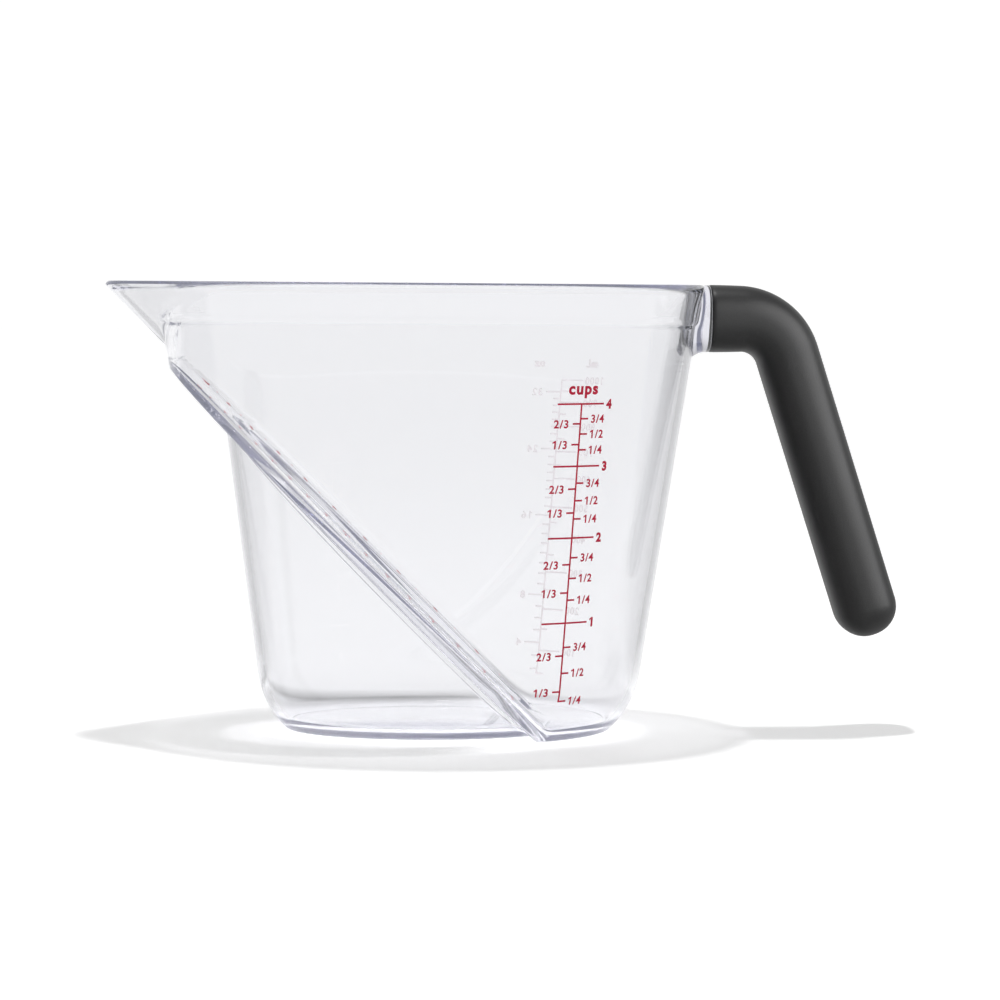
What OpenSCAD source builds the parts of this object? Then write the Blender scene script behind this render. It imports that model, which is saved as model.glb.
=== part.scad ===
// Angled measuring cup: a clear moulded jug whose sloping ledge carries a scale that is read from above,
// with a pouring spout at one end and a soft dark grip over the handle's core at the other.
// The bowl's upright axis is Z and the table is Z = 0. The handle lies towards +X and the spout towards -X.

/* [Bowl] */
// Height of the rim above the table
height = 140.5; // [128:0.5:165]
// Length of the oval rim, without spout and handle
rim_length = 172.5; // [160:0.5:190]
// Width of the oval rim
rim_width = 130; // [120:0.5:150]
// Draft of the end walls, degrees from upright
end_lean = 8.7; // [7:0.1:11]
// Draft of the side walls, degrees from upright
side_lean = 7.5; // [5:0.1:8.5]
// Thickness of the moulded wall
wall = 2.5; // [1.8:0.1:3.2]
// Thickness of the base
floor_t = 3; // [3:0.1:5]
// Radius of the curve from wall to base
corner_r = 30; // [26:0.5:36]
// Height at which that curve begins
corner_h = 18; // [14:0.5:20]

/* [Rim] */
// Depth of the slightly wider band under the rim
rim_band = 11; // [8:0.5:14]
// How far the band stands out from the wall below it
rim_step = 0.6; // [0.3:0.1:1.2]
// Height over which the band fades into the wall
rim_ease = 2.5; // [1.5:0.1:4]
// Height over which the lip is rounded
lip_h = 2.6; // [1.2:0.1:3.5]

/* [Measuring ramp] */
// Distance from the base's handle end to the foot of the ramp
foot_gap = 20.3; // [15:0.1:26]
// How far below the rim the ramp meets the spout end
ramp_drop = 24; // [22:0.5:32]
// Width of the ledge at the spout end, at the table
ledge_w = 12.6; // [9:0.1:14]
// Width of the ledge along the sides, at the table
ledge_side = 12.5; // [8:0.1:13]
// Draft of the low end wall under the ledge, degrees from upright
well_lean = 7.4; // [5:0.1:8.5]
// Thickness of the ledge
ledge_t = 3.3; // [3:0.1:5]
// Rounding of the ledge's edges
ledge_round = 1.2; // [0.6:0.1:2]
// Fillet of the two hollow corners: under the ledge at the low wall, and above it at the bowl's wall
root_round = 3.6; // [1.5:0.1:4]

/* [Spout] */
// How far the lip of the spout stands out from the oval rim
spout_reach = 16; // [13:0.1:20]
// Upright edge at the spout's tip
spout_land = 1; // [0.5:0.1:2]
// Angle between the spout's keel and each of its flanks
spout_half = 45; // [40:0.5:50]
// Blunting of the spout's nose, in degrees
nose = 4; // [2:0.25:6]
// How far the flanks are drawn in before they meet the bowl
hollow = 3; // [0:0.25:5]
// Blend between flanks and bowl
spout_blend = 3; // [1.5:0.1:5]

/* [Handle] */
// How far the collar's face stands out from the end of the rim
collar_out = 1.1; // [0.8:0.1:3]
// How far the handle's top lies below the rim
top_gap = 0; // [0:0.1:2]
// Height of the grip at the collar
grip_deep = 21.2; // [18:0.1:24]
// Thickness of the grip along its leg
leg_deep = 19.7; // [17:0.1:23]
// Width of the grip
grip_wide = 24; // [20:0.1:28]
// Straight run before the bend
neck = 9.9; // [6:0.1:14]
// Radius of the bend, at the middle of the grip
bend_r = 16.2; // [13:0.1:22]
// Lean of the leg, degrees from upright
leg_lean = 18; // [12:0.1:24]
// Length of the leg, from the bend to the middle of its round end
leg_length = 83.6; // [70:0.1:95]
// Squareness of the grip's section, where 2 is an ellipse
squareness = 2.6; // [2:0.1:3.4]
// Thickness of the soft sleeve over the core
grip_t = 3; // [2:0.1:4.5]
// Clearance between sleeve and core
grip_fit = 0.2; // [0.1:0.05:0.3]
// Spread of the collar's root where it flows into the wall
root_flare = 2.6; // [1.5:0.1:4]

/* [Hidden] */

// Points round half of a bowl section: bowl arc, outer edge, ledge, inner edge, well arc
BOWL_PTS = 16;
EDGE_PTS = 2;
LEDGE_PTS = 1;
WELL_PTS = 9;
// Sections up each skin: base curve, ramp, ramp's end, upper wall, and round the lip
BASE_ROWS = 5;
RAMP_ROWS = 9;
END_ROWS = 3;
UPPER_ROWS = 10;
LIP_ROWS = 4;
// Points round the handle's section, and sections along its neck, bend, leg and round end
GRIP_PTS = 28;
NECK_ROWS = 2;
BEND_ROWS = 10;
LEG_ROWS = 5;
TIP_ROWS = 5;
// Sections between the collar's root and its face
COLLAR_ROWS = 4;
// Turn of the last points towards the keel, at the ramp's end and at the rim
KEEL_FAN_LOW = 8;
KEEL_FAN_HIGH = 26;
// Gap left between the ramp's sections and the place where it runs out
RUN_OUT = 0.6;
// Margin inside which a spout's flank no longer reaches the bowl, in degrees
FLANK_END = 2;

lip_r = wall / 2;
rim_base_x = rim_length / 2 - rim_step - height * tan(end_lean);
ramp_foot = axis_x(0, 0) - foot_gap;
ramp_top = height - ramp_drop;
ramp = atan(ramp_top / (ramp_foot + rim_base_x - wall + ramp_top * tan(end_lean)));
seat_x = rim_length / 2 + collar_out;
seat_z = height - top_gap - grip_deep / 2;
turn = 90 - leg_lean;
bend_run = bend_r * turn * PI / 180;
leg_start = neck + bend_run;
leg_end = leg_start + leg_length;

// Eased step from 0 to 1
function smooth(s) = let (q = max(0, min(1, s))) q * q * (3 - 2 * q);

// The larger of two radii, with the crease between them filled over a width
function blend(a, b, width) = let (h = max(width - abs(a - b), 0)) max(a, b) + h * h / (4 * width);

// Quadratic curve from a to b that heads for c, without its first point
function rounded(a, c, b, steps) =
    [for (i = [1:steps]) let (s = i / steps) (1 - s) * (1 - s) * a + 2 * s * (1 - s) * c + s * s * b];

function between(a, b, s) = a + (b - a) * s;

// How far the base curve draws the wall in at a height. Skin 0 is the outside and skin 1 the inside
function tuck(z, skin) =
    let (
        r = corner_r - skin * wall,
        lean = (end_lean + side_lean) / 2,
        up = z - corner_h - corner_r * sin(lean)
    )
    up > -r * sin(lean) ? 0 : (r + up * sin(lean)) / cos(lean) - sqrt(max(r * r - up * up, 0));

// How far the wall below the rim band is set in
function set_in(z) = rim_step * (1 - smooth((z - (height - rim_band - rim_ease)) / rim_ease));

// Half axes of the bowl's oval at a height
function axis_x(z, skin) =
    rim_length / 2 - (height - z) * tan(end_lean) - set_in(z) - skin * wall - tuck(z, skin);
function axis_y(z, skin) =
    rim_width / 2 - (height - z) * tan(side_lean) - set_in(z) - skin * wall - tuck(z, skin);

// Width of the ledge at a height: it changes where the low wall has another draft
function ledge(z, at_table) = at_table + z * (tan(end_lean) - tan(well_lean));

// Where the ramp lies at a height: its top face is the inner skin's, its underside the outer skin's
function ramp_x(z, skin) = ramp_foot - (1 - skin) * ledge_t / sin(ramp) - z / tan(ramp);

// Heights at which the ramp leaves the low wall, and at which it meets the bowl's end wall
function low_wall_top(skin) =
    (ramp_x(0, skin) + rim_base_x - skin * wall - ledge_w) / (1 / tan(ramp) - tan(well_lean));
function ramp_end(skin) = (ramp_x(0, skin) + rim_base_x - skin * wall) / (1 / tan(ramp) - tan(end_lean));

function oval(phi, a, b) = 1 / sqrt(pow(cos(phi) / a, 2) + pow(sin(phi) / b, 2));

// Reach of the spout's flank, at a turn away from its keel
function flank(off, z, skin) =
    let (
        below = max(0, height - spout_land - z),
        keel = rim_length / 2 + spout_reach - skin * wall / sin(ramp) - below / tan(ramp),
        bend = sqrt(off * off + nose * nose)
    )
    off > spout_half - FLANK_END ? 0
        : keel * sin(spout_half + nose) / sin(spout_half + bend) - hollow * pow(off / spout_half, 2);

// A point of the bowl's outline, spout included
function bowl(phi, z, skin) =
    let (r = blend(oval(phi, axis_x(z, skin), axis_y(z, skin)), flank(180 - phi, z, skin), spout_blend))
    [r * cos(phi), r * sin(phi)];

function bowl_arc(last, z, skin) = [for (i = [0:BOWL_PTS]) bowl(last * i / BOWL_PTS, z, skin)];

// Section above the ramp: the whole oval with its spout
function half_above(z, skin) =
    let (
        rest = 2 * EDGE_PTS + LEDGE_PTS + WELL_PTS,
        rise = (z - ramp_end(skin)) / (height - ramp_end(skin)),
        fan = between(KEEL_FAN_LOW, KEEL_FAN_HIGH, smooth(rise))
    )
    concat(bowl_arc(180 - fan, z, skin), [for (i = [1:rest]) bowl(180 - fan * (1 - i / rest), z, skin)]);

// Section where the ramp has passed the low wall and runs straight across
function half_across(z, skin) =
    let (
        x = ramp_x(z, skin),
        y = axis_y(z, skin) * sqrt(1 - pow(x / axis_x(z, skin), 2)),
        r = min(between(ledge_round, root_round, skin), 0.45 * y),
        arc = bowl_arc(atan2(y, x) - r / norm([x, y]) * 180 / PI, z, skin),
        rest = LEDGE_PTS + EDGE_PTS + WELL_PTS
    )
    concat(
        arc,
        rounded(arc[BOWL_PTS], [x, y], [x, y - r], EDGE_PTS),
        [for (i = [1:rest]) [x, (y - r) * (1 - i / rest)]]
    );

// Section through the ramp: bowl on the handle's side, ledge, and the narrower well on the spout's side
function half_through(z, skin) =
    let (
        x = ramp_x(z, skin),
        a = axis_x(z, skin),
        b = axis_y(z, skin),
        low_a = a - ledge(z, ledge_w),
        low_b = b - ledge(z, ledge_side),
        y_out = b * sqrt(1 - pow(x / a, 2)),
        y_in = low_b * sqrt(1 - pow(x / low_a, 2)),
        start = acos(x / low_a),
        fits = 0.45 * (y_out - y_in),
        r_out = min(between(ledge_round, root_round, skin), fits),
        r_in = min(between(root_round, ledge_round, skin), fits, 0.45 * (180 - start) * PI / 180 * low_b),
        begin = start + r_in / norm([low_a * sin(start), low_b * cos(start)]) * 180 / PI,
        arc = bowl_arc(atan2(y_out, x) - r_out / norm([x, y_out]) * 180 / PI, z, skin),
        top = [x, y_out - r_out],
        root = [x, y_in + r_in]
    )
    concat(
        arc,
        rounded(arc[BOWL_PTS], [x, y_out], top, EDGE_PTS),
        [for (i = [1:LEDGE_PTS]) between(top, root, i / LEDGE_PTS)],
        rounded(root, [x, y_in], [low_a * cos(begin), low_b * sin(begin)], EDGE_PTS),
        [
            for (i = [1:WELL_PTS])
                let (t = between(begin, 180, i / WELL_PTS))
                [low_a * cos(t), low_b * sin(t)]
        ]
    );

function half_section(z, skin) =
    let (past = -axis_x(z, skin) - ramp_x(z, skin))
    past >= 0 ? half_above(z, skin)
        : past + ledge(z, ledge_w) >= 0 ? half_across(z, skin)
        : half_through(z, skin);

// A closed section at a height: one half and its mirror image
function section(z, skin) =
    let (half = half_section(z, skin), last = len(half) - 1)
    concat(
        [for (p = half) [p.x, p.y, z]],
        [for (i = [last - 1:-1:1]) [half[i].x, -half[i].y, z]]
    );

// Heights of a skin's sections, closer together where its outline changes fastest
function rows(skin) =
    let (
        base = skin * floor_t,
        low = low_wall_top(skin),
        end = ramp_end(skin),
        first = end + RUN_OUT,
        last = height - lip_h
    )
    concat(
        [for (i = [0:BASE_ROWS]) between(base, corner_h, pow(i / BASE_ROWS, 1.3))],
        [for (i = [1:RAMP_ROWS]) between(corner_h, low - RUN_OUT, sin(90 * i / RAMP_ROWS))],
        [for (i = [1:END_ROWS]) between(low + RUN_OUT, end - RUN_OUT, sin(90 * i / END_ROWS))],
        [for (i = [0:UPPER_ROWS]) between(first, last, i / UPPER_ROWS)]
    );

function backwards(list) = [for (i = [len(list) - 1:-1:0]) list[i]];

// Solid through a run of closed rings with equal numbers of points, closed by a fan from a hub at each end
module loft(rings, first_hub, last_hub) {
    n = len(rings[0]);
    m = len(rings);
    band = [
        for (i = [0:m - 2], j = [0:n - 1])
            let (a = i * n + j, b = i * n + (j + 1) % n)
            each [[a, a + n, b], [b, a + n, b + n]]
    ];
    first_fan = [for (j = [0:n - 1]) [m * n, j, (j + 1) % n]];
    last_fan = [for (j = [0:n - 1]) let (a = (m - 1) * n) [a + j, m * n + 1, a + (j + 1) % n]];
    polyhedron(concat([for (r = rings) each r], [first_hub, last_hub]), concat(band, first_fan, last_fan));
}

// The bowl's two skins in one run: up the outside, over the rounded lip and down the inside to the floor
module shell() {
    outside = [for (z = rows(0)) section(z, 0)];
    lip = [
        for (i = [1:LIP_ROWS - 1])
            let (t = 180 * i / LIP_ROWS)
            section(height - lip_h * (1 - sin(t)), (1 - cos(t)) / 2)
    ];
    inside = [for (z = rows(1)) section(z, 1)];
    loft(
        concat(outside, lip, backwards(inside)),
        [ramp_x(0, 0) + ledge_w / 2, 0, 0],
        [ramp_x(floor_t, 1) + ledge_w / 2, 0, floor_t]
    );
}

// Place and heading of the handle's middle line, at a distance from the collar's face
function spine(s) =
    let (h = max(0, min(turn, (s - neck) / bend_r * 180 / PI)), run = max(0, s - leg_start))
    [
        seat_x + min(s, neck) + bend_r * sin(h) + run * cos(turn),
        seat_z - bend_r * (1 - cos(h)) - run * sin(turn),
        h
    ];

function squared(c) = sign(c) * pow(abs(c), 2 / squareness);

// A section across the handle, with rounded square corners
function across(place, deep, wide) = [
    for (j = [0:GRIP_PTS - 1])
        let (t = 360 * j / GRIP_PTS, up = deep / 2 * squared(cos(t)), out = wide / 2 * squared(sin(t)))
        [place.x + up * sin(place[2]), -out, place.y + up * cos(place[2])]
];

// Sections of the handle from the collar's face to its round end, at a depth under the grip's surface
function handle_rings(inset) =
    let (
        stops = concat(
            [for (i = [0:NECK_ROWS - 1]) neck * i / NECK_ROWS],
            [for (i = [0:BEND_ROWS]) between(neck, leg_start, i / BEND_ROWS)],
            [for (i = [1:LEG_ROWS]) between(leg_start, leg_end, i / LEG_ROWS)]
        )
    )
    concat(
        [
            for (s = stops)
                let (deep = between(grip_deep, leg_deep, smooth(s / leg_start)))
                across(spine(s), deep - 2 * inset, grip_wide - 2 * inset)
        ],
        [
            for (i = [1:TIP_ROWS])
                let (t = 90 * i / (TIP_ROWS + 1), s = leg_end + (leg_deep / 2 - inset) * sin(t))
                across(spine(s), (leg_deep - 2 * inset) * cos(t), (grip_wide - 2 * inset) * cos(t))
        ]
    );

function handle_tip(inset) = let (p = spine(leg_end + leg_deep / 2 - inset)) [p.x, 0, p.y];

// The middle of the end wall, at a place across and up it
function mid_wall(y, z) = axis_x(z, 0.5) * sqrt(1 - pow(y / axis_y(z, 0.5), 2));

// Sections of the collar: they spread out of the end wall and close in to the grip's outline
function collar_rings() = [
    for (i = [0:COLLAR_ROWS - 1])
        let (s = i / COLLAR_ROWS, spread = root_flare * pow(1 - s, 2))
        [
            for (p = across(spine(0), grip_deep, grip_wide))
                let (
                    y = p.y * (1 + 2 * spread / grip_wide),
                    z = min(p.z - max(0, seat_z - p.z) * 2 * spread / grip_deep, height - lip_r),
                    x = mid_wall(y, z)
                )
                [between(x, seat_x, s), y, between(z, min(p.z, z + lip_r), s)]
        ]
];

// The handle's core: it leaves the wall as a collar, steps in at the collar's face and fills the grip
module handle_core() {
    loft(
        concat(collar_rings(), [across(spine(0), grip_deep, grip_wide)], handle_rings(grip_t + grip_fit)),
        [mid_wall(0, seat_z), 0, seat_z],
        handle_tip(grip_t + grip_fit)
    );
}

module cup_body() {
    color([0.88, 0.9, 0.94, 0.4]) union() {
        shell();
        handle_core();
    }
}

// The soft sleeve: a tube with a closed round end, seated on the collar's face
module grip() {
    color([0.12, 0.12, 0.13]) loft(
        concat(backwards(handle_rings(grip_t)), handle_rings(0)),
        handle_tip(grip_t),
        handle_tip(0)
    );
}

cup_body();
grip();
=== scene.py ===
import math

import bpy
import numpy as np
from mathutils import Matrix, Vector


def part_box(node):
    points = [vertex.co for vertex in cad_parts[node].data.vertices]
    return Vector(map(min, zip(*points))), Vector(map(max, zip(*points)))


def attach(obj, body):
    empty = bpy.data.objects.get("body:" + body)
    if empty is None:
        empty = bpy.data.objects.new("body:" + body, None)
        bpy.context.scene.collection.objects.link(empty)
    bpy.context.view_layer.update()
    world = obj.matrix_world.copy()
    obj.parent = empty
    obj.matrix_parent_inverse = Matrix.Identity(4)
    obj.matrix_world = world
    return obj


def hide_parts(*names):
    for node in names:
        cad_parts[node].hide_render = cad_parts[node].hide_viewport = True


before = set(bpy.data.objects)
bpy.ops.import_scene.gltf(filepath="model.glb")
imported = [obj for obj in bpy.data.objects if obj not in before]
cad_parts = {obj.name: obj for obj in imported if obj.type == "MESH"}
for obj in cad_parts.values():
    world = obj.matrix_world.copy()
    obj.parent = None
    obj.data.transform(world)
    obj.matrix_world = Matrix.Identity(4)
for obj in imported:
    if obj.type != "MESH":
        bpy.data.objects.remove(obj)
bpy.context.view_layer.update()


# Cup body
# One clear injection moulding of hard styrene plastic: an oval bowl with a beak spout, a sloping ledge that
# narrows it to a well, a flat base, and at the handle's end a collar and the core that the grip covers.
# Polished moulds leave it glossy, so the eye finds it by its rim, its edges and its faint violet tint.

# The cup's sizes are in millimetres and its turns in radians, and its meshes are in metres
MM = 0.001

# Bowl: its oval rim, the draft of its ends and sides in degrees, its wall and the curve into its base
cup_low, cup_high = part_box("cup_body")
height = cup_high.z / MM
rim_length = 172.5
rim_width = 130.0
end_draft = 8.7
side_draft = 7.5
end_slope = math.tan(math.radians(end_draft))
side_slope = math.tan(math.radians(side_draft))
wall = 2.5
floor_t = 3.0
corner_r = 30.0
corner_h = 18.0
corner_lean = math.radians((end_draft + side_draft) / 2)
base_edge_r = 0.7
floor_fillet = 2.5

# Rim: a band that stands out by a small step, and a rounded lip
rim_band = 11.0
rim_step = 0.6
rim_ease = 2.5
lip_h = 2.6

# Ledge: its ramp starts at a gap from the handle's end of the base and stops at a drop below the rim
foot_gap = 20.3
ramp_drop = 24.0
ledge_end = 12.6
ledge_side = 12.5
well_draft = 7.4
well_slope = math.tan(math.radians(well_draft))
ledge_t = 3.3
ledge_round = 1.2
root_round = 3.6

# Spout: its keel climbs as the ramp does, and its flanks run out into the oval
spout_reach = -cup_low.x / MM - rim_length / 2
spout_land = 1.0
spout_half = math.radians(45)
spout_nose = math.radians(4)
flank_fade = math.radians(24)
flank_end = math.radians(43)
flank_drop = 4.0
spout_hollow = 3.0
spout_blend = (1.0, 3.0)

# Points round half a section: bowl, outer edge of the ledge, ledge, its inner edge and well
BOWL_PTS = 84
EDGE_PTS = 6
LEDGE_PTS = 6
WELL_PTS = 42
# Sections up each skin: foot, base curve, ramp, ramp's end and upper wall, then round the lip
FOOT_ROWS = 6
BASE_ROWS = 18
RAMP_ROWS = 56
END_ROWS = 14
UPPER_ROWS = 48
LIP_ROWS = 14
# Share of a step at which a point stands beside a rounded edge, so that the flat next to it stays flat
SNUG = 0.08
# Turn of the points that crowd towards the keel, at the ramp's end and at the rim
KEEL_FAN = (math.radians(8), math.radians(26))
# Gap kept clear of the heights where the ramp leaves a wall
RUN_OUT = 0.3
# Most of a narrow face that the rounding of one edge may take
EDGE_SHARE = 0.45
# Power that crowds the sections towards the base
BASE_CROWD = 1.3


def between(low, high, share):
    return low + (high - low) * share


def eased(share):
    share = min(1.0, max(0.0, share))
    return share * share * (3 - 2 * share)


# The larger of two reaches, with the hollow corner between them filled over a width
def filled_corner(one, other, width):
    overlap = max(width - abs(one - other), 0.0)
    return max(one, other) + overlap * overlap / (4 * width)


# A curve from start to end that bends round a corner
def rounded(start, corner, end, steps):
    shares = np.arange(1, steps + 1)[:, None] / steps
    return list((1 - shares) ** 2 * start + 2 * shares * (1 - shares) * corner + shares ** 2 * end)


# How far the curve into the base draws a skin in. Skin 0 is the outside and skin 1 the inside
def drawn_in(z, skin):
    r = corner_r - skin * wall
    up = z - corner_h - corner_r * math.sin(corner_lean)
    if up > -r * math.sin(corner_lean):
        return 0.0
    return (r + up * math.sin(corner_lean)) / math.cos(corner_lean) - math.sqrt(max(r * r - up * up, 0.0))


def half_axis(z, skin, at_rim, slope):
    below_band = 1 - eased((z - (height - rim_band - rim_ease)) / rim_ease)
    return at_rim / 2 - (height - z) * slope - rim_step * below_band - skin * wall - drawn_in(z, skin)


def half_length(z, skin):
    return half_axis(z, skin, rim_length, end_slope)


def half_width(z, skin):
    return half_axis(z, skin, rim_width, side_slope)


straight_end = rim_length / 2 - rim_step - height * end_slope
ramp_foot = half_length(0, 0) - foot_gap
ramp_top = height - ramp_drop
ramp_tilt = math.atan(ramp_top / (ramp_foot + straight_end - wall + ramp_top * end_slope))


# Where the ramp stands at a height: its upper face belongs to the inner skin and its underside to the outer
def ramp_x(z, skin):
    return ramp_foot - (1 - skin) * ledge_t / math.sin(ramp_tilt) - z / math.tan(ramp_tilt)


def ledge_width(z, at_table):
    return at_table + z * (end_slope - well_slope)


def low_wall_top(skin):
    run = ramp_x(0, skin) + straight_end - skin * wall - ledge_end
    return run / (1 / math.tan(ramp_tilt) - well_slope)


def ramp_end(skin):
    return (ramp_x(0, skin) + straight_end - skin * wall) / (1 / math.tan(ramp_tilt) - end_slope)


# Reach of the spout's flank at a turn away from its keel
def flank(off, z, skin):
    if off > flank_end:
        return 0.0
    below = max(0.0, height - spout_land - z)
    keel = rim_length / 2 + spout_reach - skin * wall / math.sin(ramp_tilt) - below / math.tan(ramp_tilt)
    blunt = math.hypot(off, spout_nose)
    along = keel * math.sin(spout_half + spout_nose) / math.sin(spout_half + blunt)
    run_out = flank_drop * eased((off - flank_fade) / (flank_end - flank_fade))
    return along - spout_hollow * (off / spout_half) ** 2 - run_out


def bowl_point(turn, z, skin, inset):
    a = half_length(z, skin) - inset
    b = half_width(z, skin) - inset
    oval = 1 / math.hypot(math.cos(turn) / a, math.sin(turn) / b)
    blend = between(*spout_blend, eased((z - ramp_top) / ramp_drop))
    r = filled_corner(oval, flank(math.pi - turn, z, skin), blend)
    return np.array((r * math.cos(turn), r * math.sin(turn)))


def bowl_arc(last, z, skin, inset):
    shares = [i / (BOWL_PTS - 1) for i in range(BOWL_PTS - 1)] + [1 - SNUG / BOWL_PTS, 1]
    return [bowl_point(last * share, z, skin, inset) for share in shares]


def section_above_ramp(z, skin, inset):
    rest = 2 * EDGE_PTS + LEDGE_PTS + WELL_PTS
    fan = between(*KEEL_FAN, eased((z - ramp_end(skin)) / (height - ramp_end(skin))))
    nose = [bowl_point(math.pi - fan * (1 - i / rest), z, skin, inset) for i in range(1, rest + 1)]
    return bowl_arc(math.pi - fan, z, skin, inset) + nose


def section_at_ramp_end(z, skin, inset):
    rest = EDGE_PTS + LEDGE_PTS + WELL_PTS
    x = ramp_x(z, skin)
    y = (half_width(z, skin) - inset) * math.sqrt(1 - (x / (half_length(z, skin) - inset)) ** 2)
    r = min(between(ledge_round, root_round, skin), EDGE_SHARE * y)
    arc = bowl_arc(math.atan2(y, x) - r / math.hypot(x, y), z, skin, inset)
    edge = rounded(arc[-1], np.array((x, y)), np.array((x, y - r)), EDGE_PTS)
    shares = [SNUG / rest] + [i / (rest - 1) for i in range(1, rest)]
    return arc + edge + [np.array((x, (y - r) * (1 - share))) for share in shares]


def section_through_ramp(z, skin, inset):
    x = ramp_x(z, skin)
    a = half_length(z, skin) - inset
    b = half_width(z, skin) - inset
    low_a = a - ledge_width(z, ledge_end)
    low_b = b - ledge_width(z, ledge_side)
    y_out = b * math.sqrt(1 - (x / a) ** 2)
    y_in = low_b * math.sqrt(1 - (x / low_a) ** 2)
    start = math.acos(x / low_a)
    fits = EDGE_SHARE * (y_out - y_in)
    r_out = min(between(ledge_round, root_round, skin), fits)
    r_in = min(between(root_round, ledge_round, skin), fits, EDGE_SHARE * (math.pi - start) * low_b)
    begin = start + r_in / math.hypot(low_a * math.sin(start), low_b * math.cos(start))
    arc = bowl_arc(math.atan2(y_out, x) - r_out / math.hypot(x, y_out), z, skin, inset)
    top = np.array((x, y_out - r_out))
    root = np.array((x, y_in + r_in))
    shares = [0, SNUG / WELL_PTS] + [i / (WELL_PTS - 1) for i in range(1, WELL_PTS)]
    turns = [between(begin, math.pi, share) for share in shares]
    well = [np.array((low_a * math.cos(t), low_b * math.sin(t))) for t in turns]
    outer_edge = rounded(arc[-1], np.array((x, y_out)), top, EDGE_PTS)
    flat = LEDGE_PTS - 2
    shares = [SNUG / flat] + [i / flat for i in range(1, flat)] + [1 - SNUG / flat, 1]
    ledge = [between(top, root, share) for share in shares]
    inner_edge = rounded(root, np.array((x, y_in)), well[0], EDGE_PTS)
    return arc + outer_edge + ledge + inner_edge + well[1:]


def half_section(z, skin, inset=0.0):
    past = inset - half_length(z, skin) - ramp_x(z, skin)
    if past >= 0:
        return section_above_ramp(z, skin, inset)
    if past + ledge_width(z, ledge_end) >= 0:
        return section_at_ramp_end(z, skin, inset)
    return section_through_ramp(z, skin, inset)


# A closed ring at a height: one half and its mirror image
def ring(z, skin, inset=0.0):
    half = half_section(z, skin, inset)
    mirrored = [(x, -y) for x, y in half[-2:0:-1]]
    return [(x, y, z) for x, y in half[:-1]] + [(half[-1][0], 0.0, z)] + [(x, y, z) for x, y in mirrored]


def skin_heights(skin, first):
    low = low_wall_top(skin)
    end = ramp_end(skin)
    top = height - lip_h
    heights = [between(first, corner_h, (i / BASE_ROWS) ** BASE_CROWD) for i in range(1, BASE_ROWS + 1)]
    for i in range(1, RAMP_ROWS + 1):
        heights.append(between(corner_h, low - RUN_OUT, math.sin(math.pi / 2 * i / RAMP_ROWS)))
    for i in range(1, END_ROWS + 1):
        heights.append(between(low + RUN_OUT, end - RUN_OUT, math.sin(math.pi / 2 * i / END_ROWS)))
    return heights + [between(end + RUN_OUT, top, i / UPPER_ROWS) for i in range(UPPER_ROWS + 1)]


# The rounded edge on which the base meets the table
def foot_rings():
    rings = []
    for i in range(FOOT_ROWS + 1):
        turn = math.pi / 2 * i / FOOT_ROWS
        rings.append(ring(base_edge_r * (1 - math.cos(turn)), 0, base_edge_r * (1 - math.sin(turn))))
    return rings


# The fillet between the floor inside and the curve of the wall
def floor_rings():
    corner = np.array((drawn_in(floor_t, 1), floor_t))
    start = corner + (floor_fillet, 0)
    end = np.array((drawn_in(floor_t + floor_fillet, 1), floor_t + floor_fillet))
    rings = []
    for inset, z in [start] + rounded(start, corner, end, 2 * FOOT_ROWS):
        rings.append(ring(z, 1, inset - drawn_in(z, 1)))
    return rings


# Joins rings with equal numbers of points into a closed skin, with a fan to a hub at each end
def loft(name, rings, first_hub, last_hub):
    n = len(rings[0])
    m = len(rings)
    points = [p for one in rings for p in one] + [first_hub, last_hub]
    faces = []
    for i in range(m - 1):
        for j in range(n):
            k = (j + 1) % n
            faces.append((i * n + j, i * n + k, (i + 1) * n + k, (i + 1) * n + j))
    faces += [(m * n, (j + 1) % n, j) for j in range(n)]
    last = (m - 1) * n
    faces += [(last + j, last + (j + 1) % n, m * n + 1) for j in range(n)]
    mesh = bpy.data.meshes.new(name)
    mesh.from_pydata([(x * MM, y * MM, z * MM) for x, y, z in points], [], faces)
    mesh.validate()
    piece = bpy.data.objects.new(name, mesh)
    bpy.context.scene.collection.objects.link(piece)
    return piece


def bowl_shell():
    outside = foot_rings() + [ring(z, 0) for z in skin_heights(0, base_edge_r)]
    lip = []
    for i in range(1, LIP_ROWS):
        turn = math.pi * i / LIP_ROWS
        lip.append(ring(height - lip_h * (1 - math.sin(turn)), (1 - math.cos(turn)) / 2))
    inside = floor_rings() + [ring(z, 1) for z in skin_heights(1, floor_t + floor_fillet)]
    first_hub = (ramp_x(0, 0) + ledge_end / 2, 0, 0)
    last_hub = (ramp_x(floor_t, 1) + ledge_end / 2, 0, floor_t)
    return loft("cup_clear", outside + lip + inside[::-1], first_hub, last_hub)


# Collar and handle: a flared collar, a neck, a bend and a leg that leans out. The collar's top starts just
# below the lip's, and the core stays clear of the grip by a small fit
collar_out = 1.1
collar_sink = 0.3
grip_deep = 21.2
leg_deep = 19.7
grip_wide = 24.0
neck = 9.9
bend_r = 16.2
leg_lean = math.radians(18)
leg_length = 83.6
squareness = 2.6
grip_t = 3.0
grip_fit = 0.2
root_flare = 2.6

# Points round the handle, and sections along its collar, neck, bend, leg and round end
HANDLE_PTS = 96
COLLAR_ROWS = 16
NECK_ROWS = 6
BEND_ROWS = 30
LEG_ROWS = 24
TIP_ROWS = 16

seat_x = rim_length / 2 + collar_out
seat_z = height - grip_deep / 2
bend_turn = math.pi / 2 - leg_lean
leg_start = neck + bend_r * bend_turn
leg_end = leg_start + leg_length


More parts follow.
